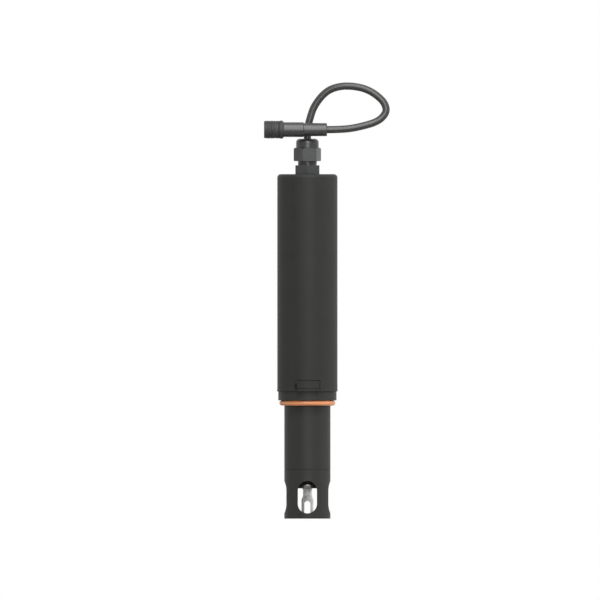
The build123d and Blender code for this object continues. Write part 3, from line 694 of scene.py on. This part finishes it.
def closed_mesh(name, shape):
    """Mesh of a finished bmesh, with every face turned outwards."""
    bmesh.ops.recalc_face_normals(shape, faces=shape.faces)
    mesh = bpy.data.meshes.new(name)
    shape.to_mesh(mesh)
    shape.free()
    return mesh


def in_metres(outline):
    """An outline of radius and height, brought from millimetres to metres."""
    return [(radius * MM, height * MM) for radius, height in outline]


def turned(name, outline, steps=128):
    """Closed mesh of revolution about Z from an outline of radius and height."""
    shape = bmesh.new()
    angles = [tau * i / steps for i in range(steps)]
    rings = []
    for radius, height in outline:
        rings.append([shape.verts.new((radius * cos(a), radius * sin(a), height)) for a in angles])
    for ring, following in zip(rings, rings[1:] + rings[:1]):
        for i in range(steps):
            j = (i + 1) % steps
            shape.faces.new((ring[i], ring[j], following[j], following[i]))
    mesh = closed_mesh(name, shape)
    smooth_by_angle(mesh)
    return mesh


def joined(name, *meshes):
    """One mesh from several, without their materials."""
    shape = bmesh.new()
    for mesh in meshes:
        shape.from_mesh(mesh)
    result = bpy.data.meshes.new(name)
    shape.to_mesh(result)
    shape.free()
    return result


def wall_block(inner, outer, left, right, low, high, steps=16):
    """Closed block on the front and one opposite, each between two radii, two heights and two sides on X."""
    shape = bmesh.new()
    for side in (-1, 1):
        columns = []
        for i in range(steps + 1):
            x = left + (right - left) * i / steps
            inside, outside = (inner**2 - x**2) ** 0.5, (outer**2 - x**2) ** 0.5
            corners = ((inside, low), (outside, low), (outside, high), (inside, high))
            columns.append([shape.verts.new((-side * x * MM, side * y * MM, z * MM)) for y, z in corners])
        for column, following in zip(columns, columns[1:]):
            for a in range(4):
                b = (a + 1) % 4
                shape.faces.new((column[a], column[b], following[b], following[a]))
        shape.faces.new(columns[0])
        shape.faces.new(columns[-1])
    return closed_mesh("wall_block", shape)


def stadium_bar(half_width, low, high, turn):
    """Long bar across the axis with a stadium for its section, to cut a window and the one opposite."""
    shape = bmesh.new()
    arc = [radians(a) for a in range(0, 181, 6)]
    upper = [(half_width * cos(a), high - half_width + half_width * sin(a)) for a in arc]
    lower = [(-half_width * cos(a), low + half_width - half_width * sin(a)) for a in arc]
    ends = []
    for y in (-WINDOW_REACH_MM, WINDOW_REACH_MM):
        ends.append([shape.verts.new((x * MM, y * MM, z * MM)) for x, z in upper + lower])
    for face in ends:
        shape.faces.new(face)
    for i in range(len(ends[0])):
        j = (i + 1) % len(ends[0])
        shape.faces.new((ends[0][i], ends[0][j], ends[1][j], ends[1][i]))
    mesh = closed_mesh("stadium_bar", shape)
    mesh.transform(Matrix.Rotation(turn, 4, "Z"))
    return mesh


def carved(name, source, steps):
    """Merged copy of a mesh after a row of boolean steps, each an operation and the mesh it takes."""
    mesh = source.copy()
    if "custom_normal" in mesh.attributes:
        mesh.attributes.remove(mesh.attributes["custom_normal"])
    shape = bmesh.new()
    shape.from_mesh(mesh)
    bmesh.ops.remove_doubles(shape, verts=shape.verts, dist=MERGE_DISTANCE)
    shape.to_mesh(mesh)
    shape.free()
    holder = place(bpy.data.objects.new(name, mesh))
    helpers = []
    for operation, other in steps:
        helpers.append(place(bpy.data.objects.new("helper", other)))
        modifier = holder.modifiers.new("step", "BOOLEAN")
        modifier.operation = operation
        modifier.object = helpers[-1]
    seen = holder.evaluated_get(bpy.context.evaluated_depsgraph_get())
    result = bpy.data.meshes.new_from_object(seen)
    for obj in (holder, *helpers):
        bpy.data.objects.remove(obj)
    result.name = name
    return result


def finished(name, mesh, material, body):
    """Object at the origin with its mesh, its material and the body that it rides on."""
    mesh.materials.clear()
    mesh.materials.append(material)
    piece = place(bpy.data.objects.new(name, mesh))
    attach(piece, body)
    return piece


# Outlines


def plug_outline(thread_depth):
    """Radius and height of the plug's front shell, from the mating face to the split, in millimetres."""
    face, split, barrel, waist = PLUG_FACE_MM, PLUG_SPLIT_MM, PLUG_BARREL_R_MM, PLUG_WAIST_R_MM
    root = PLUG_CREST_R_MM - thread_depth
    groove_r, groove_low, groove_high = PLUG_GROOVE_MM
    flange_r, flange_low, flange_high = PLUG_FLANGE_MM
    socket_r, socket_end = PLUG_SOCKET_MM
    bore, rim, bevel, fillet = PLUG_BORE_R_MM, 0.3, 0.15, 0.1
    thread = [(socket_r + rim, face), (root - rim, face), (root, face + rim)]
    thread += [(root, PLUG_THREAD_END_MM - rim), (waist, PLUG_THREAD_END_MM)]
    groove = [(waist, groove_low), (groove_r, groove_low), (groove_r, groove_high), (waist, groove_high)]
    flange = [(waist, flange_low), (flange_r - bevel, flange_low), (flange_r, flange_low + bevel)]
    flange += [(flange_r, flange_high - 2 * fillet), (flange_r - bevel, flange_high)]
    cone = [(barrel + fillet, PLUG_CONE_END_MM - 2 * fillet), (barrel, PLUG_CONE_END_MM)]
    end = [(barrel, split - 0.35), (barrel - fillet, split - fillet), (barrel - rim, split)]
    inside = [(bore, split), (bore, socket_end), (socket_r, socket_end), (socket_r, face + rim)]
    return [*thread, *groove, *flange, *cone, *end, *inside]


def guard_outline():
    """Radius and height of the guard's tube, with the groove for its friction ring, in millimetres."""
    outer, bore, top = GUARD_R_MM, GUARD_BORE_R_MM, GUARD_TOP_MM
    groove_r, groove_low, groove_high = GUARD_GROOVE_MM
    chamfer, break_edge = 0.5, 0.3
    foot = [(bore + chamfer, 0), (outer - chamfer, 0), (outer, chamfer)]
    rim = [(outer, top - break_edge), (outer - break_edge, top), (bore + chamfer, top), (bore, top - chamfer)]
    groove = [(bore, groove_high), (groove_r, groove_high), (groove_r, groove_low), (bore, groove_low)]
    return [*foot, *rim, *groove, (bore, chamfer)]


def head_outline():
    """Radius and height of the head, from its foot round the shoulder and down the bore, in millimetres."""
    foot, top, stem, bore = HEAD_FOOT_MM, HEAD_TOP_MM, HEAD_STEM_R_MM, HEAD_BORE_R_MM
    centre_r, centre_z, round_r = HEAD_SHOULDER_MM
    collar_r, collar_low, collar_high = HEAD_COLLAR_MM
    groove_r, groove_low, groove_high = HEAD_GROOVE_MM
    pocket_r, pocket_low, pocket_high = HEAD_POCKET_MM
    chamfer, lead_in = 0.3, 0.8
    edge = centre_r + round_r
    rim = [(edge - chamfer, foot), (edge, foot + chamfer)]
    angles = [radians(a) for a in range(0, 58, 3)]
    shoulder = [(centre_r + round_r * cos(a), centre_z + round_r * sin(a)) for a in angles]
    collar = [(collar_r, collar_low), (collar_r, collar_high), (stem, collar_high)]
    groove = [(stem, groove_low), (groove_r, groove_low), (groove_r, groove_high), (stem, groove_high)]
    end = [(stem, top - lead_in), (stem - lead_in, top), (bore, top)]
    pocket = [(bore, pocket_high), (pocket_r, pocket_high), (pocket_r, pocket_low), (bore, pocket_low)]
    return [*rim, *shoulder, *collar, *groove, *end, *pocket, (bore, foot)]


def plug_axis():
    """Shift from the origin to the plug's axis."""
    return Matrix.Translation((0, PLUG_AXIS_Y_MM * MM, PLUG_AXIS_Z_MM * MM))


# Steps


class SENSOR_OT_camera(bpy.types.Operator):
    """Set a level camera without perspective in front of the sensor"""

    bl_idname = "sensor.camera"
    bl_label = "Camera"

    def execute(self, context):
        camera = bpy.data.cameras.new("front")
        camera.type = "ORTHO"
        camera.ortho_scale = context.scene.sensor_stage.view_width
        holder = place(bpy.data.objects.new("front", camera))
        holder.location = CAMERA_AT
        holder.rotation_euler = (pi / 2, 0, 0)
        context.scene.camera = holder
        return {"FINISHED"}


class SENSOR_OT_plug_shell(bpy.types.Operator):
    """Make the plug's front shell with its coupling thread"""

    bl_idname = "sensor.plug_shell"
    bl_label = "Plug shell"

    def execute(self, context):
        sizes = context.scene.sensor_sizes
        material = finish_of(plug_polyamide_moulded)
        shell = turned("shell", in_metres(plug_outline(sizes.plug_depth / MM)))
        smooth_by_angle(shell, angle=10)
        low, high = (x * MM for x in PLUG_THREAD_MM)
        root = PLUG_CREST_R_MM * MM - sizes.plug_depth
        ridge = screw_ridge("ridge", root, low, high, sizes.plug_pitch, sizes.plug_depth, material)
        mesh = joined("plug_shell_threaded", shell, ridge)
        mesh.transform(plug_axis() @ Matrix.Rotation(pi / 2, 4, "Y"))
        piece = finished("plug_shell_threaded", mesh, material, "root")
        mesh.materials.append(finish_of(coupling_pbt_moulded))
        for face in mesh.polygons:
            face.material_index = int(face.center.x < PLUG_COUPLING_END_MM * MM)
        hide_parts("plug_shell")
        return {"FINISHED"}


class SENSOR_OT_cable(bpy.types.Operator):
    """Lay the lead in its loop from the gland to the plug"""

    bl_idname = "sensor.cable"
    bl_label = "Lead"

    def execute(self, context):
        diameter = context.scene.sensor_sizes.cable_diameter
        curve = bpy.data.curves.new("cable_loop", "CURVE")
        curve.dimensions = "3D"
        curve.resolution_u = 16
        curve.bevel_depth = diameter / 2
        curve.bevel_resolution = 8
        curve.use_fill_caps = True
        spline = curve.splines.new("NURBS")
        spline.points.add(len(CABLE_ROUTE_MM) - 1)
        for point, (x, y, z) in zip(spline.points, CABLE_ROUTE_MM):
            point.co = (x * MM, y * MM, z * MM, 1)
        spline.order_u = 3
        spline.use_endpoint_u = True
        curve.materials.append(finish_of(jacket_pur_extruded))
        loop = place(bpy.data.objects.new("cable_loop", curve))
        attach(loop, "root")
        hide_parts("cable")
        return {"FINISHED"}


class SENSOR_OT_housing(bpy.types.Operator):
    """Sharpen the bayonet lugs with their relief grooves"""

    bl_idname = "sensor.housing"
    bl_label = "Housing"

    def execute(self, context):
        left, right = LUG_SIDES_MM
        foot, lip, top = LUG_HEIGHTS_MM
        root, outside, margin = LUG_ROOT_R_MM, CUT_R_MM, CUT_MARGIN_MM
        left_floor, left_width, left_height = LEFT_RELIEF_MM
        top_floor, top_width = TOP_RELIEF_MM
        right_floor, right_width = RIGHT_RELIEF_MM
        lip_floor, lip_width = LIP_RELIEF_MM
        right_end, top_end = right + right_width, top + top_width
        left_cut = wall_block(left_floor, outside, left - left_width, left, foot - margin, foot + left_height)
        right_cut = wall_block(right_floor, outside, right, right_end, foot - margin, top + top_width / 2)
        lip_cut = wall_block(lip_floor, outside, left - margin, right + margin, lip, lip + lip_width)
        steps = [
            ("UNION", wall_block(root, LUG_R_MM, left, right, foot, top)),
            ("UNION", wall_block(root, LIP_R_MM, left, right, foot, lip)),
            ("DIFFERENCE", left_cut),
            ("DIFFERENCE", wall_block(top_floor, outside, left, right_end, top, top_end)),
            ("DIFFERENCE", right_cut),
            ("DIFFERENCE", lip_cut),
        ]
        mesh = carved("housing_with_lugs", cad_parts["housing"].data, steps)
        smooth_by_angle(mesh, angle=20)
        piece = finished("housing_with_lugs", mesh, finish_of(black_pps_moulded), "root")
        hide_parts("housing")
        return {"FINISHED"}


class SENSOR_OT_guard(bpy.types.Operator):
    """Turn the guard's tube and mill its four windows"""

    bl_idname = "sensor.guard"
    bl_label = "Guard"

    def execute(self, context):
        tube = turned("tube", in_metres(guard_outline()), steps=192)
        low, high = WINDOW_HEIGHTS_MM
        steps = [("DIFFERENCE", stadium_bar(WINDOW_HALF_WIDTH_MM, low, high, turn)) for turn in (0, pi / 2)]
        mesh = carved("guard_cage_milled", tube, steps)
        smooth_by_angle(mesh, angle=20)
        piece = finished("guard_cage_milled", mesh, finish_of(black_pps_turned), "guard")
        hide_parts("guard_cage")
        return {"FINISHED"}


class SENSOR_OT_head(bpy.types.Operator):
    """Turn the cell's head with its high round shoulder"""

    bl_idname = "sensor.head"
    bl_label = "Cell head"

    def execute(self, context):
        mesh = turned("cell_head_turned", in_metres(head_outline()))
        smooth_by_angle(mesh, angle=12)
        piece = finished("cell_head_turned", mesh, finish_of(head_pvdf_polished), "root")
        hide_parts("cell_head")
        return {"FINISHED"}


class SENSOR_OT_ring(bpy.types.Operator):
    """Mould the ring under the collar"""

    bl_idname = "sensor.ring"
    bl_label = "Process ring"

    def execute(self, context):
        section = RING_SECTION_R_MM
        middle_r, middle_z = RING_BORE_R_MM + section, COLLAR_FOOT_MM - section
        angles = [tau * i / 32 for i in range(32)]
        outline = [(middle_r + section * cos(a), middle_z + section * sin(a)) for a in angles]
        mesh = turned("process_ring_moulded", in_metres(outline), steps=180)
        piece = finished("process_ring_moulded", mesh, finish_of(ring_silicone), "root")
        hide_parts("process_o_ring")
        return {"FINISHED"}


class SENSOR_OT_gland_threads(bpy.types.Operator):
    """Cut the thread on the gland's neck and in its dome nut"""

    bl_idname = "sensor.gland_threads"
    bl_label = "Gland threads"

    def execute(self, context):
        sizes = context.scene.sensor_sizes
        material = finish_of(gland_polyamide_moulded)
        pitch, rise = sizes.fine_pitch, sizes.fine_depth
        low, high = (z * MM for z in NECK_THREAD_MM)
        neck = screw_ridge("gland_neck_thread", NECK_R_MM * MM, low, high, pitch, rise, material)
        finished("gland_neck_thread", neck, material, "root")
        nut_low = low + NUT_THREAD_START_TURNS * pitch
        radius = NUT_THREAD_R_MM * MM
        nut = screw_ridge("dome_nut_thread", radius, nut_low, high, pitch, rise, material, inward=True)
        finished("dome_nut_thread", nut, material, "gland_nut")
        return {"FINISHED"}


class SENSOR_OT_guard_threads(bpy.types.Operator):
    """Cut the thread on the barrel's end and in the guard"""

    bl_idname = "sensor.guard_threads"
    bl_label = "Guard threads"

    def execute(self, context):
        sizes = context.scene.sensor_sizes
        material = finish_of(black_pps_turned)
        pitch, rise = sizes.fine_pitch, sizes.fine_depth
        low, high = (z * MM for z in BARREL_THREAD_MM)
        male = screw_ridge("barrel_thread", BARREL_THREAD_R_MM * MM, low, high, pitch, rise, material)
        finished("barrel_thread", male, material, "root")
        # Half a pitch lower, so that its ridge lies in the other's groove
        low, high, radius = low - pitch / 2, high - pitch / 2, GUARD_THREAD_R_MM * MM
        female = screw_ridge("guard_thread", radius, low, high, pitch, rise, material, inward=True)
        finished("guard_thread", female, material, "guard")
        return {"FINISHED"}


class SENSOR_OT_finishes(bpy.types.Operator):
    """Give every carried-over piece the finish of its real material"""

    bl_idname = "sensor.finishes"
    bl_label = "Finishes"

    def execute(self, context):
        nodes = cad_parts
        for make, names in FINISHES.items():
            for name in names:
                mesh = nodes[name].data
                mesh.materials.clear()
                mesh.materials.append(finish_of(make))
        return {"FINISHED"}


# Stage


def sees_background(tree):
    """Socket that is one for the rays that see the background: from the camera, glosses and clear things."""
    ray = node(tree, "ShaderNodeLightPath").outputs
    larger = {"operation": "MAXIMUM"}
    direct = node(tree, "ShaderNodeMath", larger, {0: ray["Is Camera Ray"], 1: ray["Is Transmission Ray"]})
    return node(tree, "ShaderNodeMath", larger, {0: direct.outputs[0], 1: ray["Is Glossy Ray"]}).outputs[0]


def studio_world(ambient):
    """White wherever the background shows, and a faint fill for the object."""
    world = bpy.data.worlds.new("studio")
    world.use_nodes = True
    tree = world.node_tree
    tree.nodes.clear()
    strength = node(tree, "ShaderNodeMix", (), {0: sees_background(tree), 2: ambient, 3: 1.0})
    sky = node(tree, "ShaderNodeBackground", (), {"Color": (1, 1, 1, 1), "Strength": strength.outputs[0]})
    node(tree, "ShaderNodeOutputWorld", (), {"Surface": sky.outputs[0]})
    return world


def painted_floor(colour):
    """Matt floor, pale wherever the background shows, that throws some light back up."""
    material, shader = blank_material("painted_floor")
    tree = material.node_tree
    tint_inputs = {0: sees_background(tree), 6: linear(FLOOR_BOUNCE), 7: colour}
    tint = node(tree, "ShaderNodeMix", {"data_type": "RGBA"}, tint_inputs)
    tree.links.new(tint.outputs[2], shader.inputs["Base Color"])
    shader.inputs["Roughness"].default_value = 0.9
    shader.inputs["Specular IOR Level"].default_value = 0.0
    return material


def towards(azimuth, elevation):
    """Direction from the sensor by azimuth, nought in front and 90 on the right, and elevation."""
    a, e = radians(azimuth), radians(elevation)
    return Vector((sin(a) * cos(e), -cos(a) * cos(e), sin(e)))


def hung(light, direction, distance):
    """Object for a lamp that shines on the sensor's middle from a direction."""
    holder = place(bpy.data.objects.new(light.name, light))
    holder.rotation_mode = "QUATERNION"
    holder.rotation_quaternion = direction.to_track_quat("Z", "Y")
    holder.location = Vector((0, 0, MIDDLE_Z)) + distance * direction
    return holder


def lamp(name, azimuth, elevation, strength, spread):
    """Wide lamp that lights the surfaces and is left out of the glosses."""
    light = bpy.data.lights.new(name, "SUN")
    light.energy = strength
    light.angle = radians(spread)
    hung(light, towards(azimuth, elevation), 1.0).visible_glossy = False


def softbox(name, azimuth, elevation, brightness, size):
    """Softbox that shows in the glosses and adds no other light."""
    light = bpy.data.lights.new(name, "AREA")
    light.shape = "RECTANGLE"
    light.size, light.size_y = size
    light.energy = brightness * pi * light.size * light.size_y
    hung(light, towards(azimuth, elevation), STRIP_DISTANCE).visible_diffuse = False


class SENSOR_OT_stage(bpy.types.Operator):
    """Set the floor, the lamps and the pale surroundings"""

    bl_idname = "sensor.stage"
    bl_label = "Stage"

    def execute(self, context):
        scene = context.scene
        stage = scene.sensor_stage
        half = FLOOR_HALF
        corners = [(-half, -half, 0), (half, -half, 0), (half, half, 0), (-half, half, 0)]
        mesh = bpy.data.meshes.new("floor")
        mesh.from_pydata(corners, [], [(0, 1, 2, 3)])
        mesh.materials.append(painted_floor(stage.floor))
        floor = place(bpy.data.objects.new("floor", mesh))
        # The low front lamp shines from under the floor, so the floor lets it through
        floor.visible_shadow = False
        for name, (azimuth, elevation, spread) in LAMPS.items():
            lamp(name, azimuth, elevation, getattr(stage, name), spread)
        softbox("strip", *STRIP_ANGLES, stage.strip, STRIP_SIZE)
        scene.world = studio_world(stage.ambient)
        scene.view_settings.view_transform = "Standard"
        return {"FINISHED"}


STEPS = [
    SENSOR_OT_camera,
    SENSOR_OT_plug_shell,
    SENSOR_OT_cable,
    SENSOR_OT_housing,
    SENSOR_OT_guard,
    SENSOR_OT_head,
    SENSOR_OT_ring,
    SENSOR_OT_gland_threads,
    SENSOR_OT_guard_threads,
    SENSOR_OT_finishes,
    SENSOR_OT_stage,
]


class SENSOR_PT_sidebar(bpy.types.Panel):
    """Sizes, colours and steps of the sensor."""

    bl_idname = "SENSOR_PT_sidebar"
    bl_label = "Conductivity sensor"
    bl_space_type = "VIEW_3D"
    bl_region_type = "UI"
    bl_category = "Sensor"

    def draw(self, context):
        scene = context.scene
        for group in (scene.sensor_sizes, scene.sensor_colours, scene.sensor_stage):
            box = self.layout.box()
            for name in group.__annotations__:
                box.prop(group, name)
        for step in STEPS:
            self.layout.operator(step.bl_idname)


GROUPS = {"sensor_colours": SensorColours, "sensor_sizes": SensorSizes, "sensor_stage": SensorStage}


def register():
    for name, group in GROUPS.items():
        bpy.utils.register_class(group)
        setattr(bpy.types.Scene, name, PointerProperty(type=group))
    for item in (*STEPS, SENSOR_PT_sidebar):
        bpy.utils.register_class(item)


def unregister():
    for item in (SENSOR_PT_sidebar, *reversed(STEPS)):
        bpy.utils.unregister_class(item)
    for name, group in reversed(GROUPS.items()):
        delattr(bpy.types.Scene, name)
        bpy.utils.unregister_class(group)


def main():
    """Build everything in order."""
    register()
    bpy.ops.sensor.camera()
    bpy.ops.sensor.plug_shell()
    bpy.ops.sensor.cable()
    bpy.ops.sensor.housing()
    bpy.ops.sensor.guard()
    bpy.ops.sensor.head()
    bpy.ops.sensor.ring()
    bpy.ops.sensor.gland_threads()
    bpy.ops.sensor.guard_threads()
    bpy.ops.sensor.finishes()
    bpy.ops.sensor.stage()


if __name__ == "__main__":
    main()
